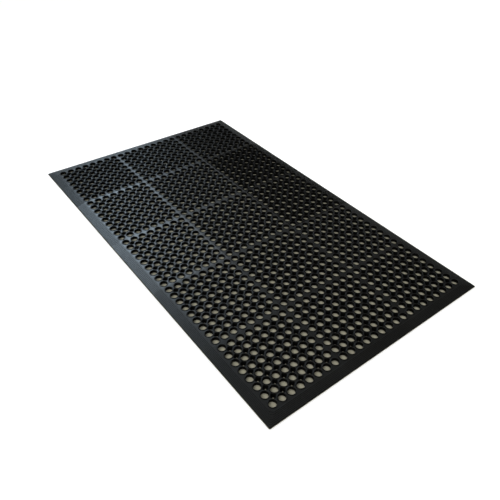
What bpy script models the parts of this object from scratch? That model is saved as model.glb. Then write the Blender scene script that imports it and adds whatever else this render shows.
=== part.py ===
"""Anti-fatigue drainage mat, 3 ft x 5 ft, 1/2 in thick, moulded in black rubber.

The sheet is made of fifteen one-foot sections, three across and five along, bonded edge to
edge at the foot lines.  Each section is nine drain cells square; on the sheet's outer sides
the last row of cells gives way to a ramp that runs down to a thin lip.

Frame: metres, +Z up, the underside on z = 0, the origin under the middle of the sheet, +Y
along the long side.
"""
import bmesh
import bpy
from mathutils import Vector

FOOT = 0.3048
SECTIONS_ACROSS = 3
SECTIONS_ALONG = 5
CELLS_PER_SECTION = 9
PITCH = FOOT / CELLS_PER_SECTION

THICKNESS = 0.0127
RAMP_WIDTH = PITCH
LIP_HEIGHT = 0.002
SEAM_GAP = 0.0003
DRAIN_SIDE = 0.0266
DRAIN_OVERSHOOT = 0.005

RUBBER_COLOUR = (0.018, 0.019, 0.020, 1.0)
RUBBER_ROUGHNESS = 0.55

# Which way each outer side of the sheet faces, by the name that side has.
OUTWARD = {
    "left": Vector((-1.0, 0.0, 0.0)),
    "right": Vector((1.0, 0.0, 0.0)),
    "front": Vector((0.0, -1.0, 0.0)),
    "back": Vector((0.0, 1.0, 0.0)),
}


def clear_scene():
    """Remove every object that the new file opened with."""
    for old in list(bpy.data.objects):
        bpy.data.objects.remove(old, do_unlink=True)


def rubber(name):
    """Black moulded rubber, one material for each section."""
    material = bpy.data.materials.new(name + "_rubber")
    material.use_nodes = True
    shader = material.node_tree.nodes["Principled BSDF"]
    shader.inputs["Base Color"].default_value = RUBBER_COLOUR
    shader.inputs["Roughness"].default_value = RUBBER_ROUGHNESS
    shader.inputs["Metallic"].default_value = 0.0
    return material


def outer_sides(across, along):
    """The sides on which a section meets the sheet's outline."""
    sides = []
    if across == 0:
        sides.append("left")
    if across == SECTIONS_ACROSS - 1:
        sides.append("right")
    if along == 0:
        sides.append("front")
    if along == SECTIONS_ALONG - 1:
        sides.append("back")
    return sides


def section_name(across, along):
    """Corner, edge or centre, with a number along the sheet where there are several."""
    sides = outer_sides(across, along)
    if len(sides) == 2:
        return f"{sides[1]}_{sides[0]}_corner"
    if sides and sides[0] in ("front", "back"):
        return f"{sides[0]}_edge"
    if sides:
        return f"{sides[0]}_edge_{along}"
    return f"centre_{along}"


def section_block(sides):
    """A foot-square slab about the origin, cut back by half the gap at each bonded seam."""
    low = Vector((-FOOT / 2, -FOOT / 2, 0.0))
    high = Vector((FOOT / 2, FOOT / 2, THICKNESS))
    for side, outward in OUTWARD.items():
        if side not in sides:
            corner = high if outward.x + outward.y > 0 else low
            corner -= outward * SEAM_GAP / 2
    block = bmesh.new()
    bmesh.ops.create_cube(block, size=1.0)
    for vert in block.verts:
        for axis in range(3):
            vert.co[axis] = high[axis] if vert.co[axis] > 0 else low[axis]
    return block


def cut_ramp(block, outward):
    """Slice the slab's top along one outer side, from full height down to the lip."""
    lip = outward * (FOOT / 2) + Vector((0.0, 0.0, LIP_HEIGHT))
    slope_up = Vector((0.0, 0.0, RAMP_WIDTH)) + outward * (THICKNESS - LIP_HEIGHT)
    everything = block.verts[:] + block.edges[:] + block.faces[:]
    cut = bmesh.ops.bisect_plane(
        block, geom=everything, plane_co=lip, plane_no=slope_up.normalized(), clear_outer=True)
    rim = [item for item in cut["geom_cut"] if isinstance(item, bmesh.types.BMEdge)]
    bmesh.ops.edgeloop_fill(block, edges=rim)


def drain_cells(sides):
    """The middle of each cell of a section that has a drain hole, so none under a ramp."""
    last = CELLS_PER_SECTION - 1
    columns = range("left" in sides, CELLS_PER_SECTION - ("right" in sides))
    rows = range("front" in sides, CELLS_PER_SECTION - ("back" in sides))
    return [Vector(((column - last / 2) * PITCH, (row - last / 2) * PITCH, 0.0))
            for row in rows for column in columns]


def drain_cutter(sides):
    """Square bars, one through each drain cell and past both faces of the sheet."""
    bars = bmesh.new()
    height = THICKNESS + 2 * DRAIN_OVERSHOOT
    for middle in drain_cells(sides):
        bar = bmesh.ops.create_cube(bars, size=1.0)["verts"]
        bmesh.ops.scale(bars, verts=bar, vec=(DRAIN_SIDE, DRAIN_SIDE, height))
        bmesh.ops.translate(bars, verts=bar, vec=middle + Vector((0.0, 0.0, THICKNESS / 2)))
    return bars


def placed_object(name, shape, across, along):
    """A new object from a bmesh, at the middle of its section of the sheet."""
    mesh = bpy.data.meshes.new(name)
    shape.to_mesh(mesh)
    shape.free()
    placed = bpy.data.objects.new(name, mesh)
    placed.location.x = (across - (SECTIONS_ACROSS - 1) / 2) * FOOT
    placed.location.y = (along - (SECTIONS_ALONG - 1) / 2) * FOOT
    bpy.context.scene.collection.objects.link(placed)
    return placed


def add_section(across, along):
    """One moulded section of the sheet, in its own node, with its drain holes cut."""
    name = section_name(across, along)
    sides = outer_sides(across, along)
    block = section_block(sides)
    for side in sides:
        cut_ramp(block, OUTWARD[side])
    bmesh.ops.recalc_face_normals(block, faces=block.faces)
    section = placed_object(name, block, across, along)
    section.data.materials.append(rubber(name))

    cutter = placed_object(name + "_drains", drain_cutter(sides), across, along)
    cutter.display_type = "WIRE"
    cutter.hide_render = True
    drains = section.modifiers.new("drains", "BOOLEAN")
    drains.operation = "DIFFERENCE"
    drains.object = cutter


def build_mat():
    """All fifteen sections of the sheet."""
    clear_scene()
    for along in range(SECTIONS_ALONG):
        for across in range(SECTIONS_ACROSS):
            add_section(across, along)


build_mat()
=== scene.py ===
"""Looks of the anti-fatigue drainage mat: fifteen detailed rubber mouldings, floor, light, camera.

Every packed section of the mat is hidden and replaced by one moulding of the same outline.  A
moulding is a closed mesh: a square grid of raised drain rings that touch each other, with a
star-shaped gap between each four rings and a foot under each place where two rings touch, and
on the mat's outer sides a ramp with fine ribs that run round the mat's corners.
"""
import math
import random

import bmesh
import bpy
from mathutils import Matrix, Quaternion, Vector


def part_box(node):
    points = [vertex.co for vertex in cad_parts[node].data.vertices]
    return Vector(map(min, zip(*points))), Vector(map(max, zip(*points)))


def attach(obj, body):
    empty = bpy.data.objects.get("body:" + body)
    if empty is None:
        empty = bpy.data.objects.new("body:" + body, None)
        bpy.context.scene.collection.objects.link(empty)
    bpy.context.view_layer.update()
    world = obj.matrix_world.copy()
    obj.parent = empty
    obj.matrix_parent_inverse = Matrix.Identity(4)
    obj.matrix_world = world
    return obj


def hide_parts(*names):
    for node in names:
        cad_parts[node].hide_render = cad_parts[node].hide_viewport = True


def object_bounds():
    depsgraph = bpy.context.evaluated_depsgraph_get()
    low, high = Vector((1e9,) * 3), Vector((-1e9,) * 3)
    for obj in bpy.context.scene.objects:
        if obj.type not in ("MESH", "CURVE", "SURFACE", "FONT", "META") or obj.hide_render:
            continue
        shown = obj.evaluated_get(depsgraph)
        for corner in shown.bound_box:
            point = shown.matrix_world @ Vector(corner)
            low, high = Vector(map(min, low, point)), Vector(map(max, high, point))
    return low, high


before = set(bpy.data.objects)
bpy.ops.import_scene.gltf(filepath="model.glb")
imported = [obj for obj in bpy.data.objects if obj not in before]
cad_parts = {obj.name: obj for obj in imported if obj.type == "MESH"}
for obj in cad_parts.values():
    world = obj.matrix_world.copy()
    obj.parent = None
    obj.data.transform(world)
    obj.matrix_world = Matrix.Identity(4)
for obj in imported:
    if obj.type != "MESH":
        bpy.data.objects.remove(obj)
cad_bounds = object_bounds()

MM = 0.001
SECTIONS = sorted(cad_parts)

# The sheet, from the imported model: three square sections across, of nine by nine cells each.
LOW = Vector(cad_bounds[0])
HIGH = Vector(cad_bounds[1])
SECTIONS_ACROSS = 3
CELLS = 9
SECTION_SIDE = (HIGH.x - LOW.x) / SECTIONS_ACROSS
PITCH = SECTION_SIDE / CELLS
HALF = PITCH / 2
TOP = HIGH.z
# A section's side this near the sheet's outline is one of its outer sides.
TOUCH = 0.1 * MM

# The sections meet in a hairline, with hardly any rounding at its edges.
SEAM_GAP = 0.04 * MM
SEAM_ROUND = 0.2

# A drain ring's heights, and its radii where a gap cuts it, in its hole and round its feet.
WEB_TOP = TOP - 1.5 * MM
WEB_BOTTOM = 1.2 * MM
GAP_RADIUS = 16.5 * MM
HOLE_RADIUS = 12.4 * MM
FOOT_RADII = (15.2 * MM, 14.2 * MM)
# An open edge's rounding, and the inset and drop of each level of it as shares of that.
EDGE_ROUND = 0.5 * MM
EDGE_LEVELS = [(1.0, 0.0), (0.27, 0.3), (0.0, 1.0)]
# A gap between rings narrows downward to a small opening; its half width along the two sides
# of a cell and, at the opening's corners, along the diagonal's two parts.
GAP_LIP = WEB_BOTTOM + 1.2 * MM
OPENING_SIDE = 3.0 * MM
OPENING_DIAGONAL = 2.1 * MM
# Radius and height of each ring of the hole's wall and collar, from the bottom of the hole out.
COLLAR = [
    (HOLE_RADIUS, WEB_BOTTOM + 0.15 * MM),
    (HOLE_RADIUS, WEB_BOTTOM + 1.0 * MM),
    (HOLE_RADIUS, TOP - 0.8 * MM),
    (HOLE_RADIUS + 0.25 * MM, TOP - 0.25 * MM),
    (HOLE_RADIUS + 0.8 * MM, TOP),
    (HOLE_RADIUS + 1.6 * MM, TOP),
    (HOLE_RADIUS + 2.2 * MM, TOP - 0.3 * MM),
    (HOLE_RADIUS + 2.55 * MM, TOP - 0.95 * MM),
    (HOLE_RADIUS + 3.0 * MM, WEB_TOP),
]
# The most flash left in a hole, how quickly it thins out round it, and how far rings stray.
FLASH_MOST = 2.2 * MM
FLASH_TAPER = 1.5
RING_WANDER = 0.12 * MM

# The stations round a ring: eight to a quadrant, closer where the gap between rings begins.
QUADRANT = [0.0, 10.5, 20.0, 31.0, 45.0, 59.0, 70.0, 79.5]
STATIONS = [math.radians(90.0 * quarter + angle) for quarter in range(4) for angle in QUADRANT]
PER_SIDE = len(QUADRANT)
CORNER = QUADRANT.index(45.0)
TIP = QUADRANT.index(20.0)
COUNT = len(STATIONS)

# The four sides in the order of the stations, and the way each one faces.
SIDES = ["right", "back", "left", "front"]
FACING = [Vector((1, 0)), Vector((0, 1)), Vector((-1, 0)), Vector((0, -1))]

# The ramp's underside, as distance in from the outline and height: the bevel where it leaves the
# web, three grooves that are wider at the mouth, and the bevel under the outline.
RAMP_FOOT = [(PITCH - 2.2 * MM, WEB_BOTTOM), (PITCH - 3.0 * MM, 0.0)]
GROOVES = (24.0 * MM, 16.0 * MM, 8.0 * MM)
GROOVE_DEPTH = 1.2 * MM
GROOVE_MOUTH = 1.5 * MM
GROOVE_BOTTOM = 0.8 * MM
OUTLINE_BEVEL = [(0.9 * MM, 0.0), (0.2 * MM, 0.8 * MM)]

# The ramp's top: a thin rounded lip, then ribs on a slope that climbs to the web's level.
LIP = 2.0 * MM
LIP_ROUND = [(0.0, LIP - 0.6 * MM), (0.2 * MM, LIP - 0.15 * MM), (0.7 * MM, LIP)]
SLOPE_START = LIP_ROUND[-1][0]
RIB_PITCH = PITCH / 8
RIB_COUNT = 7
RIB_HEIGHT = 0.8 * MM
RIB_REACH = 2.0 * MM
# A rib's flat top lies nearly level: how far each point is from the rib's middle and below its
# top, in millimetres.
RIB_TOP = ((-1.82, 0.42), (-1.68, 0.24), (-1.45, 0.18), (1.6, 0.0), (1.8, 0.07))
FIRST_RIB = 4.1 * MM
RAMP_END = PITCH - 1.2 * MM
# A rib's bend at the mat's corner: its radius at the outline, the gain in radius for each unit
# inward, and the most it may be for each unit left to the ramp's inner edge.
BEND_RADIUS = 2.4 * MM
BEND_GAIN = 0.5
BEND_MOST = 2.9
ARC_STEPS = 8
# The rounding at a seam fades out over these heights of the ramp, down towards its lip.
SEAM_DROP_FROM = 1.2 * MM
SEAM_DROP_OVER = 2.0 * MM

# Edges sharper than this stay crisp; faces whose normal points up or down by less are walls, which
# get the material with painted shade.
CRISP_ANGLE = math.radians(48)
WALL_TILT = 0.72

# The moulded face's roughness and specular level, and the sections that differ from the rest.
USUAL_FINISH = (0.35, 0.38)
FINISH = {
    "back_left_corner": (0.34, 0.28),
    "left_edge_3": (0.32, 0.48),
    "left_edge_2": (0.33, 0.64),
    "left_edge_1": (0.37, 0.48),
    "front_left_corner": (0.36, 0.40),
    "right_edge_1": (0.33, 0.50),
    "right_edge_2": (0.28, 0.18),
    "right_edge_3": (0.26, 0.11),
    "back_right_corner": (0.30, 0.30),
}
# How far roughness and tone stray between sections, and roughness within one.
FINISH_STRAY = 0.01
TINT_STRAY = (0.92, 1.1)
GLOSS_STRAY = 0.05

# The rubber's tones: hue, darkest and lightest, dust on it, and edges lighter partly from wear by
# shoes and partly as a painted highlight.
RUBBER_HUE = (0.98, 1.0, 0.94)
TOP_TONES = (0.0056, 0.0090)
DUST = (0.11, 0.112, 0.11, 1.0)
EDGE_WEAR_AND_HIGHLIGHT = (0.0112, 0.0114, 0.0108, 1.0)
# The walls' tones are a painted shade, far darker than the same rubber on the moulded face.
WALL_PAINTED_SHADE_TONES = (0.0010, 0.0022)
WALL_ROUGHNESS = (0.55, 0.68)
WALL_SPECULAR = 0.08

# Where the colour ramps put their stops on a noise or on the mesh's pointiness.
MOTTLE_STOPS = (0.30, 0.72)
GLOSS_STOPS = (0.25, 0.75)
DUST_STOPS = (0.69, 0.76)
EDGE_WEAR_AND_HIGHLIGHT_STOPS = (0.505, 0.56)

# Scale and detail of each noise; strength and depth of each bump.
NOISE_ROUGHNESS = 0.55
TOP_MOTTLE = (38.0, 6.0)
TOP_GLOSS = (95.0, 5.0)
TOP_DUST = (420.0, 3.0)
TOP_GRAIN = (2200.0, 4.0)
TOP_GRAIN_BUMP = (0.35, 0.12 * MM)
TOP_SWELL = (120.0, 3.0)
TOP_SWELL_BUMP = (0.25, 0.6 * MM)
WALL_MOTTLE = (60.0, 4.0)
WALL_GLOSS = (95.0, 3.0)
WALL_SWELL = (180.0, 3.0)
WALL_SWELL_BUMP = (0.25, 0.4 * MM)

# The floor: its half width, how far it lies under the mat, its painted shade from dark where the mat
# closes it in to pale in the open, and a painted glow of its own in the open.
FLOOR_REACH = 14.0
FLOOR_DROP = 0.2 * MM
FLOOR_PAINTED_SHADE = [
    (0.20, (0.17, 0.163, 0.135, 1.0)),
    (0.42, (0.50, 0.485, 0.380, 1.0)),
    (0.56, (0.50, 0.485, 0.380, 1.0)),
    (0.80, (0.95, 0.95, 0.95, 1.0)),
]
FLOOR_PAINTED_GLOW = 0.42
FLOOR_PAINTED_GLOW_FROM = 0.70
FLOOR_ROUGHNESS = 0.9
OPENNESS_REACH = 50.0 * MM
OPENNESS_SAMPLES = 16

# The room's glow: where it is brightest, and its strength from the far side (0) to there (1).
GLOW_WAY = (-0.2, 0.75, 0.63)
GLOW = [(0.25, 0.20), (0.38, 0.03), (0.65, 0.11), (0.80, 0.15), (0.92, 0.24)]
GLOW_HUE = (1.0, 0.985, 0.94)

# Soft light from the mat's left, most of it without a sheen: strength, and whether it shines.
SIDE_AZIMUTH = -98.0
SIDE_ELEVATION = 54.0
SIDE_SPREAD = 50.0
SIDE_COLOUR = (1.0, 0.98, 0.93)
SIDE_LIGHTS = {"side_light": (1.4, False), "side_sheen": (0.6, True)}

# The windows' plane behind the mat, and each one's middle in x and z, size, power and colour.
WINDOW_PLANE = 3.15
WINDOWS = {
    "side_window": ((1.75, 3.15), (1.1, 1.6), 12.0, (0.85, 0.93, 1.0)),
    "window": ((0.74, 2.7), (0.98, 2.6), 60.0, (0.66, 0.84, 1.0)),
}

# The camera: off the mat's front left corner, about a person's chest high.
CAMERA_PLACE = Vector((-0.9798, -1.3015, 1.2377))
CAMERA_AIM = Vector((-0.0549, -0.1543, 0.0))
CAMERA_ROLL = math.radians(2.10)
CAMERA_LENS = 37.76
CAMERA_SENSOR = 36.0
CAMERA_FARTHEST = 60.0


def facing(index):
    """Unit vector out of one of a cell's four sides."""
    return FACING[index % 4]


class Moulding:
    """Points and faces of one section; points that coincide are kept once."""

    def __init__(self):
        self.points = []
        self.faces = []
        self.index = {}

    def point(self, x, y, z):
        """The number of a point, which is added unless it is there to within a micrometre."""
        key = (round(x * 1e6), round(y * 1e6), round(z * 1e6))
        if key not in self.index:
            self.index[key] = len(self.points)
            self.points.append((x, y, z))
        return self.index[key]

    def face(self, corners):
        """Adds a face, without the corners that coincide with the one before."""
        kept = [c for i, c in enumerate(corners) if c != corners[i - 1]]
        if len(kept) > 2:
            self.faces.append(kept)


class Cell:
    """One drain ring: where it is, and what each of its four sides meets."""

    def __init__(self, middle, sides, rng):
        self.middle = middle
        self.sides = sides
        self.drift = Vector((rng.uniform(-1, 1), rng.uniform(-1, 1))) * RING_WANDER
        self.flash_angle = rng.uniform(0, 2 * math.pi)
        self.flash = FLASH_MOST * rng.random() ** 2

    def open_corner(self, quarter):
        """A star-shaped gap lies at a corner unless a seam or the ramp passes there."""
        return self.sides[quarter % 4] == "web" and self.sides[(quarter + 1) % 4] == "web"

    def plane(self, side):
        """Distance from the ring's middle to where the cell ends on one side."""
        return HALF - (SEAM_GAP / 2 if self.sides[side % 4] == "seam" else 0.0)

    def inset(self, side, amount):
        """How far a rounding draws the boundary in on one side; hardly at all at a seam."""
        return amount * SEAM_ROUND if self.sides[side % 4] == "seam" else 0.0

    def rim(self, station, inset):
        """The cell's boundary at one station, drawn in by the rounding of an open edge."""
        station %= COUNT
        quarter, step = divmod(station, PER_SIDE)
        if self.open_corner(quarter) and TIP < step < PER_SIDE - TIP:
            radius = GAP_RADIUS - inset
            angle = STATIONS[station]
            return Vector((math.cos(angle), math.sin(angle))) * radius
        if step == CORNER:
            out = self.plane(quarter) - self.inset(quarter, inset)
            along = self.plane(quarter + 1) - self.inset(quarter + 1, inset)
            return facing(quarter) * out + facing(quarter + 1) * along
        side = quarter if step < CORNER else quarter + 1
        turned = QUADRANT[step] - (0.0 if step < CORNER else 90.0)
        along = HALF * math.tan(math.radians(turned))
        if self.open_corner(quarter) and step in (TIP, PER_SIDE - TIP):
            along -= math.copysign(inset, along)
        out = self.plane(side) - self.inset(side, inset)
        return facing(side) * out + facing(side + 1) * along

    def walled(self, station):
        """Whether the stretch after a station has a wall, on a gap or on a seam."""
        quarter, step = divmod(station % COUNT, PER_SIDE)
        if self.open_corner(quarter) and TIP <= step < PER_SIDE - TIP:
            return True
        side = quarter if step < CORNER else quarter + 1
        return self.sides[side % 4] == "seam"

    def on_gap(self, station):
        """Whether a station stands on the wall of a gap, away from the gap's two tips."""
        quarter, step = divmod(station % COUNT, PER_SIDE)
        return self.open_corner(quarter) and TIP < step < PER_SIDE - TIP

    def opening(self, station, height, moulding):
        """A point of the small opening at the bottom of a gap."""
        quarter, step = divmod(station % COUNT, PER_SIDE)
        out = along = HALF - OPENING_DIAGONAL
        if step < CORNER:
            out, along = HALF, HALF - OPENING_SIDE
        elif step > CORNER:
            out, along = HALF - OPENING_SIDE, HALF
        at = self.middle + facing(quarter) * out + facing(quarter + 1) * along
        return moulding.point(at.x, at.y, height)

    def foot_height(self, station):
        """The underside comes down to the floor where two rings touch."""
        quarter, step = divmod(station % COUNT, PER_SIDE)
        near_side = {0: quarter, 1: quarter, PER_SIDE - 1: quarter + 1}.get(step)
        if near_side is None or self.sides[near_side % 4] == "ramp":
            return WEB_BOTTOM
        return 0.0

    def circle(self, station, radius, height, moulding):
        """A point on a circle round the ring's own middle, which strays from the cell's."""
        angle = STATIONS[station]
        x = self.middle.x + self.drift.x + radius * math.cos(angle)
        y = self.middle.y + self.drift.y + radius * math.sin(angle)
        return moulding.point(x, y, height)

    def edge(self, station, inset, height, moulding):
        """A point above or below the cell's boundary."""
        at = self.middle + self.rim(station, inset)
        return moulding.point(at.x, at.y, height)

    def rounding(self, station, moulding):
        """The rounded edge at one station, from the web's top to the boundary."""
        return [self.edge(station, EDGE_ROUND * inset, WEB_TOP - EDGE_ROUND * drop, moulding)
                for inset, drop in EDGE_LEVELS]

    def flash_depth(self, station):
        """Thin rubber left at the bottom of the hole, on one side of it."""
        turn = math.cos(STATIONS[station] - self.flash_angle)
        return self.flash * max(0.0, turn) ** FLASH_TAPER

    def loop(self, station, moulding):
        """The ring's section at one station, from the bottom of the hole right round to it."""
        points = []
        for level, (radius, height) in enumerate(COLLAR):
            inward = self.flash_depth(station) if level == 0 else 0.0
            points.append(self.circle(station, radius - inward, height, moulding))
        points += self.rounding(station, moulding)
        low = self.foot_height(station)
        if self.on_gap(station):
            points.append(self.opening(station, GAP_LIP, moulding))
            points.append(self.opening(station, WEB_BOTTOM, moulding))
        else:
            points.append(points[-1])
            points.append(self.edge(station, 0.0, low, moulding))
        points.append(self.circle(station, FOOT_RADII[0], low, moulding))
        points.append(self.circle(station, FOOT_RADII[1], WEB_BOTTOM, moulding))
        return points

    def build(self, moulding):
        """The ring's faces; a side that meets a web or the ramp stays open, to join on to it."""
        loops = [self.loop(station, moulding) for station in range(COUNT)]
        wall = range(len(COLLAR), len(COLLAR) + len(EDGE_LEVELS) + 1)
        for station in range(COUNT):
            here, after = loops[station], loops[(station + 1) % COUNT]
            at_tip = self.on_gap(station) != self.on_gap(station + 1)
            for level in range(len(here)):
                if level in wall and not self.walled(station) or level == wall[-1] and at_tip:
                    continue
                following = (level + 1) % len(here)
                moulding.face([here[level], here[following], after[following], after[level]])

    def side_points(self, first, last, inset, height, moulding):
        """Points of the cell's boundary from one station to another."""
        return [self.edge(station, inset, height, moulding) for station in range(first, last + 1)]


def slope(inward):
    """Height of the ramp between its ribs."""
    return LIP + (WEB_TOP - LIP) * (inward - SLOPE_START) / (RAMP_END - SLOPE_START)


def ramp_underside():
    """Distance in from the outline and height, from the web out to the outline."""
    under = list(RAMP_FOOT)
    for groove in GROOVES:
        under.append((groove + GROOVE_MOUTH, 0.0))
        under.append((groove + GROOVE_BOTTOM, GROOVE_DEPTH))
        under.append((groove - GROOVE_BOTTOM, GROOVE_DEPTH))
        under.append((groove - GROOVE_MOUTH, 0.0))
    return under + OUTLINE_BEVEL


def ramp_top():
    """Distance in from the outline and height, from the outline in to the web."""
    over = list(LIP_ROUND)
    for rib in range(RIB_COUNT):
        crest = FIRST_RIB + rib * RIB_PITCH
        top = slope(crest) + RIB_HEIGHT
        over.append((crest - RIB_REACH, slope(crest - RIB_REACH)))
        over += [(crest + step * MM, top - drop * MM) for step, drop in RIB_TOP]
        over.append((crest + RIB_REACH, slope(crest + RIB_REACH)))
    over.append((RAMP_END, WEB_TOP))
    return over


def seam_drop_share(height):
    """How much of a seam's rounding the ramp's top takes at a height."""
    return min(1.0, max(0.0, (height - SEAM_DROP_FROM) / SEAM_DROP_OVER))


# The ramp's section from below round to the top: distance in, height, share of a seam's drop.
RAMP = [(inward, height, 0.0) for inward, height in ramp_underside()]
RAMP += [(inward, height, seam_drop_share(height)) for inward, height in ramp_top()]


def rib_bend(inward):
    """Radius with which a rib turns the mat's corner: sharp at the outline, rounder inside."""
    return min(BEND_RADIUS + BEND_GAIN * inward, BEND_MOST * (PITCH - inward))


def ramp_row(place, moulding, drop=0.0):
    """One cross-section of the ramp; place gives the plan position of a distance inward."""
    row = []
    for inward, height, share in RAMP:
        at = place(inward)
        row.append(moulding.point(at.x, at.y, height - drop * share))
    return row


def straight_row(edge_point, inward_way, moulding, drop=0.0):
    """A cross-section square to the outline."""
    return ramp_row(lambda inward: edge_point + inward_way * inward, moulding, drop)


def bend_row(corner, before, after, angle, moulding):
    """A cross-section on the ribs' bends; before and after are the ways along the two sides."""
    def place(inward):
        bend = rib_bend(inward)
        middle = corner + (after - before) * (inward + bend)
        return middle - after * bend * math.cos(angle) + before * bend * math.sin(angle)
    return ramp_row(place, moulding)


class Section:
    """One packed section of the mat: its place, its outer sides and its cells."""

    def __init__(self, name):
        low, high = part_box(name)
        self.column = round((low[0] - LOW.x) / SECTION_SIDE)
        self.row = round((low[1] - LOW.y) / SECTION_SIDE)
        left, front = self.column * SECTION_SIDE, self.row * SECTION_SIDE
        self.corner = Vector((LOW.x + left, LOW.y + front))
        touches = {
            "right": abs(high[0] - HIGH.x) < TOUCH,
            "back": abs(high[1] - HIGH.y) < TOUCH,
            "left": abs(low[0] - LOW.x) < TOUCH,
            "front": abs(low[1] - LOW.y) < TOUCH,
        }
        self.outer = [touches[side] for side in SIDES]
        self.cells = self.make_cells()

    def make_cells(self):
        """The rings of the section, by column and row; none under a ramp."""
        rng = random.Random(f"rings of column {self.column} row {self.row}")
        right, back, left, front = (int(flag) for flag in self.outer)
        columns = range(left, CELLS - right)
        rows = range(front, CELLS - back)
        cells = {}
        for row in rows:
            for column in columns:
                at_side = (column == columns[-1], row == rows[-1],
                           column == columns[0], row == rows[0])
                sides = []
                for at, outer in zip(at_side, self.outer):
                    sides.append("web" if not at else "ramp" if outer else "seam")
                middle = self.corner + Vector((column + 0.5, row + 0.5)) * PITCH
                cells[column, row] = Cell(middle, sides, rng)
        return cells

    def side_cells(self, side):
        """The cells along one side, in the order that goes round the mat with it on the left."""
        way = facing(side + 1)
        along_side = [c for c in self.cells.values() if c.sides[side] == "ramp"]
        return sorted(along_side, key=lambda cell: cell.middle.dot(way))

    def build(self, moulding):
        """All the section's faces: its rings, and a ramp along its outer sides."""
        for cell in self.cells.values():
            cell.build(moulding)
        sides = [side for side in range(4) if self.outer[side]]
        if len(sides) == 2:
            first = sides[0] if (sides[0] + 1) % 4 == sides[1] else sides[1]
            self.build_corner_ramp(first, moulding)
        elif sides:
            self.build_side_ramp(sides[0], moulding)

    def outline_point(self, side, cell, offset):
        """A point of the mat's outline beside a cell, offset along the side from its middle."""
        return cell.middle + facing(side) * (HALF + PITCH) + facing(side + 1) * offset

    def seam_rows(self, side, cell, sign, moulding):
        """The three cross-sections that round the ramp over at a seam, the outermost first."""
        rows = []
        for inset, drop in reversed(EDGE_LEVELS):
            offset = sign * (HALF - SEAM_GAP / 2 - inset * EDGE_ROUND * SEAM_ROUND)
            edge_point = self.outline_point(side, cell, offset)
            rows.append(straight_row(edge_point, -facing(side), moulding, drop * EDGE_ROUND))
        return rows

    def border_rows(self, side, cells, moulding):
        """Cross-sections of the ramp at the far end of each of the given cells."""
        return [straight_row(self.outline_point(side, cell, HALF), -facing(side), moulding)
                for cell in cells]

    def bend_rows(self, side, corner_cell, moulding):
        """Cross-sections of the ramp round the mat's corner, in from one side and out the next."""
        before = facing(side + 1)
        after = facing(side + 2)
        corner = corner_cell.middle + (before - after) * (HALF + PITCH)
        angles = [math.pi / 2 * step / ARC_STEPS for step in range(ARC_STEPS + 1)]
        return [bend_row(corner, before, after, angle, moulding) for angle in angles]

    def strips(self, side, cells, rows):
        """Each cell, its first and last station on a side, and the cross-sections beside it."""
        first = PER_SIDE * (side - 1) + CORNER
        return [(cell, first, first + PER_SIDE, rows[index:index + 2])
                for index, cell in enumerate(cells)]

    def build_side_ramp(self, side, moulding):
        """The ramp of a section with one outer side, with a seam at both ends."""
        cells = self.side_cells(side)
        start = self.seam_rows(side, cells[0], -1, moulding)
        end = self.seam_rows(side, cells[-1], 1, moulding)[::-1]
        rows = [start[-1], *self.border_rows(side, cells[:-1], moulding), end[0]]
        self.join_ramp(start, self.strips(side, cells, rows), end, moulding)

    def build_corner_ramp(self, side, moulding):
        """The ramp of a corner section: in along one side, round the bend and out to a seam."""
        following = (side + 1) % 4
        cells_in = self.side_cells(side)
        cells_out = self.side_cells(following)
        start = self.seam_rows(side, cells_in[0], -1, moulding)
        rows_in = [start[-1], *self.border_rows(side, cells_in[:-1], moulding)]
        bend = self.bend_rows(side, cells_in[-1], moulding)
        borders_out = self.border_rows(following, cells_out[:-1], moulding)
        end = self.seam_rows(following, cells_out[-1], 1, moulding)[::-1]
        first = PER_SIDE * (side - 1) + CORNER
        turn = (cells_in[-1], first, first + 2 * PER_SIDE, [rows_in[-1], *bend, borders_out[0]])
        strips = [*self.strips(side, cells_in[:-1], rows_in), turn]
        strips += self.strips(following, cells_out[1:], [*borders_out, end[0]])
        self.join_ramp(start, strips, end, moulding)

    def join_ramp(self, start, strips, end, moulding):
        """The ramp's faces: its skin, the flats that join it to the rings, and its two ends."""
        between = [row for _, _, _, rows in strips for row in rows[:-1]]
        self.skin([*start[:-1], *between, *end], moulding)
        for index, (cell, first, last, rows) in enumerate(strips):
            low_start = start if index == 0 else []
            low_end = end if index == len(strips) - 1 else []
            self.inner_strip(cell, first, last, rows, low_start, low_end, moulding)
        first_cell, first_station, _, _ = strips[0]
        last_cell, _, last_station, _ = strips[-1]
        self.seam_end(first_cell, first_station, start, moulding, False)
        self.seam_end(last_cell, last_station, end, moulding, True)

    def skin(self, rows, moulding):
        """Faces between neighbouring cross-sections of the ramp."""
        for here, after in zip(rows, rows[1:]):
            for level in range(len(here) - 1):
                moulding.face([here[level], after[level], after[level + 1], here[level + 1]])

    def inner_strip(self, cell, first, last, rows, start, end, moulding):
        """Flat faces above and below that join the ramp to the boundary of a ring's cell."""
        first, last = first + COUNT, last + COUNT
        top = cell.side_points(first, last, EDGE_ROUND, WEB_TOP, moulding)
        moulding.face([row[-1] for row in rows] + top[::-1])
        under = cell.side_points(first, last, 0.0, WEB_BOTTOM, moulding)
        outside = [row[0] for row in [*start[:-1], *rows, *end[1:]]]
        moulding.face(outside[::-1] + under)

    def seam_end(self, cell, station, rows, moulding, at_end):
        """The rounded edge and the end face of the ramp at a seam."""
        station += COUNT
        corner = cell.rounding(station, moulding)[::-1]
        under = cell.edge(station, 0.0, WEB_BOTTOM, moulding)
        outer = rows[::-1] if at_end else rows
        for level in range(len(corner) - 1):
            strip = [outer[level][-1], outer[level + 1][-1], corner[level + 1], corner[level]]
            moulding.face(strip[::-1] if at_end else strip)
        cap = [*outer[0], corner[0], under]
        moulding.face(cap[::-1] if at_end else cap)


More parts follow.
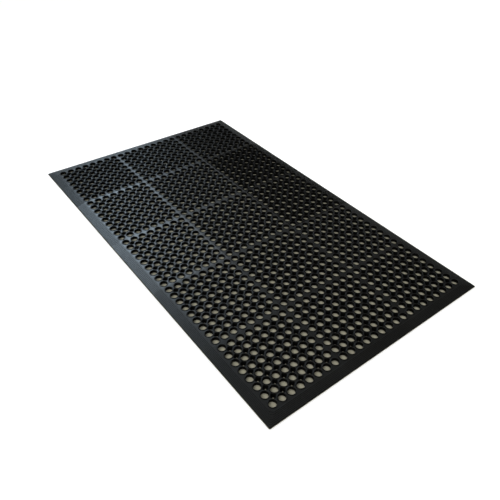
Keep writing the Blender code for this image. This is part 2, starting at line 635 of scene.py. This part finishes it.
def new_piece(name, moulding, faces_up, faces_sideways):
    """A mesh object from a moulding, with one material for tops and undersides, one with painted
    shade for walls.
    """
    mesh = bpy.data.meshes.new(name)
    mesh.from_pydata(moulding.points, [], moulding.faces)
    shape = bmesh.new()
    shape.from_mesh(mesh)
    loose = [vert for vert in shape.verts if not vert.link_faces]
    bmesh.ops.delete(shape, geom=loose, context="VERTS")
    shape.to_mesh(mesh)
    shape.free()
    mesh.shade_smooth()
    mesh.set_sharp_from_angle(angle=CRISP_ANGLE)
    mesh.materials.append(faces_up)
    mesh.materials.append(faces_sideways)
    for polygon in mesh.polygons:
        polygon.material_index = int(abs(polygon.normal.z) < WALL_TILT)
    piece = bpy.data.objects.new(name, mesh)
    bpy.context.scene.collection.objects.link(piece)
    return piece


def fill_ramp(color_ramp, stops):
    """Set a colour ramp's stops, given as position and colour; new ones start halfway along."""
    while len(color_ramp.elements) < len(stops):
        color_ramp.elements.new(0.5)
    for element, (position, colour) in zip(color_ramp.elements, stops):
        element.position = position
        element.color = colour


class RubberMaterial:
    """A black rubber material and the noises and colour ramps that give it its detail."""

    def __init__(self, name, gloss_noise, gloss_stops, specular):
        self.material = bpy.data.materials.new(name)
        self.material.use_nodes = True
        self.nodes = self.material.node_tree.nodes
        self.links = self.material.node_tree.links
        self.shader = self.nodes["Principled BSDF"]
        self.where = self.nodes.new("ShaderNodeTexCoord").outputs["Object"]
        gloss = self.ramp(self.noise(*gloss_noise), gloss_stops)
        self.links.new(gloss, self.shader.inputs["Roughness"])
        self.shader.inputs["Specular IOR Level"].default_value = specular

    def noise(self, scale, detail):
        """A noise that stays with the object."""
        node = self.nodes.new("ShaderNodeTexNoise")
        node.inputs["Scale"].default_value = scale
        node.inputs["Detail"].default_value = detail
        node.inputs["Roughness"].default_value = NOISE_ROUGHNESS
        self.links.new(self.where, node.inputs["Vector"])
        return node.outputs["Fac"]

    def ramp(self, source, stops):
        """A colour ramp over another node's value."""
        node = self.nodes.new("ShaderNodeValToRGB")
        fill_ramp(node.color_ramp, stops)
        self.links.new(source, node.inputs["Fac"])
        return node.outputs["Color"]

    def over(self, below, colour, mask):
        """One colour laid over what is below it, where the mask is white."""
        node = self.nodes.new("ShaderNodeMix")
        node.data_type = "RGBA"
        node.inputs["B"].default_value = colour
        self.links.new(mask, node.inputs["Factor"])
        self.links.new(below, node.inputs["A"])
        return node.outputs["Result"]

    def bump(self, height, amount, below=None):
        """A bump on the shader's normal, over the bump below it; amount is strength and depth."""
        strength, distance = amount
        node = self.nodes.new("ShaderNodeBump")
        node.inputs["Strength"].default_value = strength
        node.inputs["Distance"].default_value = distance
        self.links.new(height, node.inputs["Height"])
        if below:
            self.links.new(below, node.inputs["Normal"])
        self.links.new(node.outputs["Normal"], self.shader.inputs["Normal"])
        return node.outputs["Normal"]


def greys(places, values=(0.0, 1.0)):
    """Stops of grey for a colour ramp."""
    return [(place, (value, value, value, 1.0)) for place, value in zip(places, values)]


def tones(values, tint=1.0):
    """Stops of the rubber's hue for its mottle, from the darkest to the lightest."""
    return [(place, (*(hue * value * tint for hue in RUBBER_HUE), 1.0))
            for place, value in zip(MOTTLE_STOPS, values)]


def top_rubber(name, rng):
    """The moulded face: fine grain, dust flecks, edges lighter as wear and painted highlight; each
    section a little different.
    """
    roughness, specular = FINISH.get(name, USUAL_FINISH)
    roughness += rng.uniform(-FINISH_STRAY, FINISH_STRAY)
    gloss = greys(GLOSS_STOPS, (roughness - GLOSS_STRAY, roughness + GLOSS_STRAY))
    rubber = RubberMaterial("rubber_" + name, TOP_GLOSS, gloss, specular)
    mottle = rubber.ramp(rubber.noise(*TOP_MOTTLE), tones(TOP_TONES, rng.uniform(*TINT_STRAY)))
    flecks = rubber.ramp(rubber.noise(*TOP_DUST), greys(DUST_STOPS))
    dusty = rubber.over(mottle, DUST, flecks)
    # Painted highlight, partly wear: convex edges, found by the mesh's pointiness, are lighter than
    # the face round them.
    pointed = rubber.nodes.new("ShaderNodeNewGeometry").outputs["Pointiness"]
    worn_and_highlit = rubber.over(dusty, EDGE_WEAR_AND_HIGHLIGHT, rubber.ramp(pointed, greys(EDGE_WEAR_AND_HIGHLIGHT_STOPS)))
    rubber.links.new(worn_and_highlit, rubber.shader.inputs["Base Color"])
    grain = rubber.bump(rubber.noise(*TOP_GRAIN), TOP_GRAIN_BUMP)
    rubber.bump(rubber.noise(*TOP_SWELL), TOP_SWELL_BUMP, grain)
    return rubber.material


def wall_rubber():
    """The walls of holes, gaps and ribs: duller than the moulded face, and blacker by a painted
    shade.
    """
    uneven = greys(GLOSS_STOPS, WALL_ROUGHNESS)
    rubber = RubberMaterial("rubber_walls_painted_shade", WALL_GLOSS, uneven, WALL_SPECULAR)
    # Painted shade: the walls' tones are far darker than those of the moulded face.
    mottle = rubber.ramp(rubber.noise(*WALL_MOTTLE), tones(WALL_PAINTED_SHADE_TONES))
    rubber.links.new(mottle, rubber.shader.inputs["Base Color"])
    rubber.bump(rubber.noise(*WALL_SWELL), WALL_SWELL_BUMP)
    return rubber.material


def build_sections():
    """One moulding for each packed section, riding on the mat's only body."""
    walls = wall_rubber()
    for name in SECTIONS:
        section = Section(name)
        moulding = Moulding()
        section.build(moulding)
        rng = random.Random(f"finish of column {section.column} row {section.row}")
        piece = new_piece("moulded_" + name, moulding, top_rubber(name, rng), walls)
        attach(piece, "root")
        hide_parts(name)


def build_floor():
    """A pale floor just under the mat, with painted shade where the mat closes it in and a painted
    glow in the open.
    """
    mesh = bpy.data.meshes.new("floor")
    corners = [(x * FLOOR_REACH, y * FLOOR_REACH, 0) for x, y in ((-1, -1), (1, -1), (1, 1), (-1, 1))]
    mesh.from_pydata(corners, [], [(0, 1, 2, 3)])
    material = bpy.data.materials.new("floor_painted_shade_and_glow")
    material.use_nodes = True
    shader = material.node_tree.nodes["Principled BSDF"]
    nodes, links = material.node_tree.nodes, material.node_tree.links
    openness = nodes.new("ShaderNodeAmbientOcclusion")
    openness.samples = OPENNESS_SAMPLES
    openness.inputs["Distance"].default_value = OPENNESS_REACH
    # Painted shade: the floor's colour darkens where the mat closes it in, by the ambient occlusion.
    shade = nodes.new("ShaderNodeValToRGB")
    fill_ramp(shade.color_ramp, FLOOR_PAINTED_SHADE)
    links.new(openness.outputs["AO"], shade.inputs["Fac"])
    links.new(shade.outputs["Color"], shader.inputs["Base Color"])
    # Painted glow: where the floor lies open it emits light of its own.
    painted_glow = nodes.new("ShaderNodeMapRange")
    painted_glow.inputs["From Min"].default_value = FLOOR_PAINTED_GLOW_FROM
    painted_glow.inputs["To Max"].default_value = FLOOR_PAINTED_GLOW
    links.new(openness.outputs["AO"], painted_glow.inputs["Value"])
    links.new(painted_glow.outputs["Result"], shader.inputs["Emission Strength"])
    shader.inputs["Emission Color"].default_value = (1.0, 1.0, 1.0, 1.0)
    shader.inputs["Roughness"].default_value = FLOOR_ROUGHNESS
    shader.inputs["Specular IOR Level"].default_value = 0.0
    mesh.materials.append(material)
    floor = bpy.data.objects.new("floor", mesh)
    floor.location.z = -FLOOR_DROP
    bpy.context.scene.collection.objects.link(floor)


def window_light(name, middle, size, power, colour):
    """A soft rectangular light in the windows' plane, facing the front."""
    light = bpy.data.lights.new(name, "AREA")
    light.shape = "RECTANGLE"
    light.size, light.size_y = size
    light.energy = power
    light.color = colour
    lamp = bpy.data.objects.new(name, light)
    lamp.location = (middle[0], WINDOW_PLANE, middle[1])
    lamp.rotation_euler = Vector((0.0, -1.0, 0.0)).to_track_quat("-Z", "Y").to_euler()
    bpy.context.scene.collection.objects.link(lamp)


def side_light(name, strength, shines):
    """A far soft light from the mat's left; one that doesn't shine leaves no sheen."""
    light = bpy.data.lights.new(name, "SUN")
    light.energy = strength
    light.angle = math.radians(SIDE_SPREAD)
    light.color = SIDE_COLOUR
    lamp = bpy.data.objects.new(name, light)
    a, e = math.radians(SIDE_AZIMUTH), math.radians(SIDE_ELEVATION)
    source = Vector((math.sin(a) * math.cos(e), math.cos(a) * math.cos(e), math.sin(e)))
    lamp.rotation_euler = (-source).to_track_quat("-Z", "Y").to_euler()
    lamp.visible_glossy = shines
    bpy.context.scene.collection.objects.link(lamp)


def room_glow():
    """The world's light: soft, and brightest behind the mat and above it."""
    world = bpy.data.worlds.new("surround")
    world.use_nodes = True
    nodes, links = world.node_tree.nodes, world.node_tree.links
    toward_glow = nodes.new("ShaderNodeVectorMath")
    toward_glow.operation = "DOT_PRODUCT"
    toward_glow.inputs[1].default_value = GLOW_WAY
    links.new(nodes.new("ShaderNodeTexCoord").outputs["Generated"], toward_glow.inputs[0])
    span = nodes.new("ShaderNodeMapRange")
    span.inputs["From Min"].default_value = -1.0
    links.new(toward_glow.outputs["Value"], span.inputs["Value"])
    shade = nodes.new("ShaderNodeValToRGB")
    fill_ramp(shade.color_ramp, [(at, (*(hue * v for hue in GLOW_HUE), 1.0)) for at, v in GLOW])
    links.new(span.outputs["Result"], shade.inputs["Fac"])
    links.new(shade.outputs["Color"], nodes["Background"].inputs["Color"])
    bpy.context.scene.world = world


def light_scene():
    """The room's glow, soft light from the mat's left, and windows behind it for the sheen."""
    room_glow()
    for name, (strength, shines) in SIDE_LIGHTS.items():
        side_light(name, strength, shines)
    for name, (middle, size, power, colour) in WINDOWS.items():
        window_light(name, middle, size, power, colour)
    view = bpy.context.scene.view_settings
    view.view_transform = "Standard"
    view.look = "None"
    view.exposure = 0.0


def place_camera():
    """The viewpoint, with the camera turned a little about its own axis."""
    camera = bpy.data.cameras.new("camera")
    camera.sensor_width = CAMERA_SENSOR
    camera.lens = CAMERA_LENS
    camera.clip_end = CAMERA_FARTHEST
    holder = bpy.data.objects.new("camera", camera)
    look = (CAMERA_AIM - CAMERA_PLACE).to_track_quat("-Z", "Y")
    holder.location = CAMERA_PLACE
    holder.rotation_euler = (look @ Quaternion((0.0, 0.0, 1.0), CAMERA_ROLL)).to_euler()
    bpy.context.scene.collection.objects.link(holder)
    bpy.context.scene.camera = holder


place_camera()
build_sections()
build_floor()
light_scene()
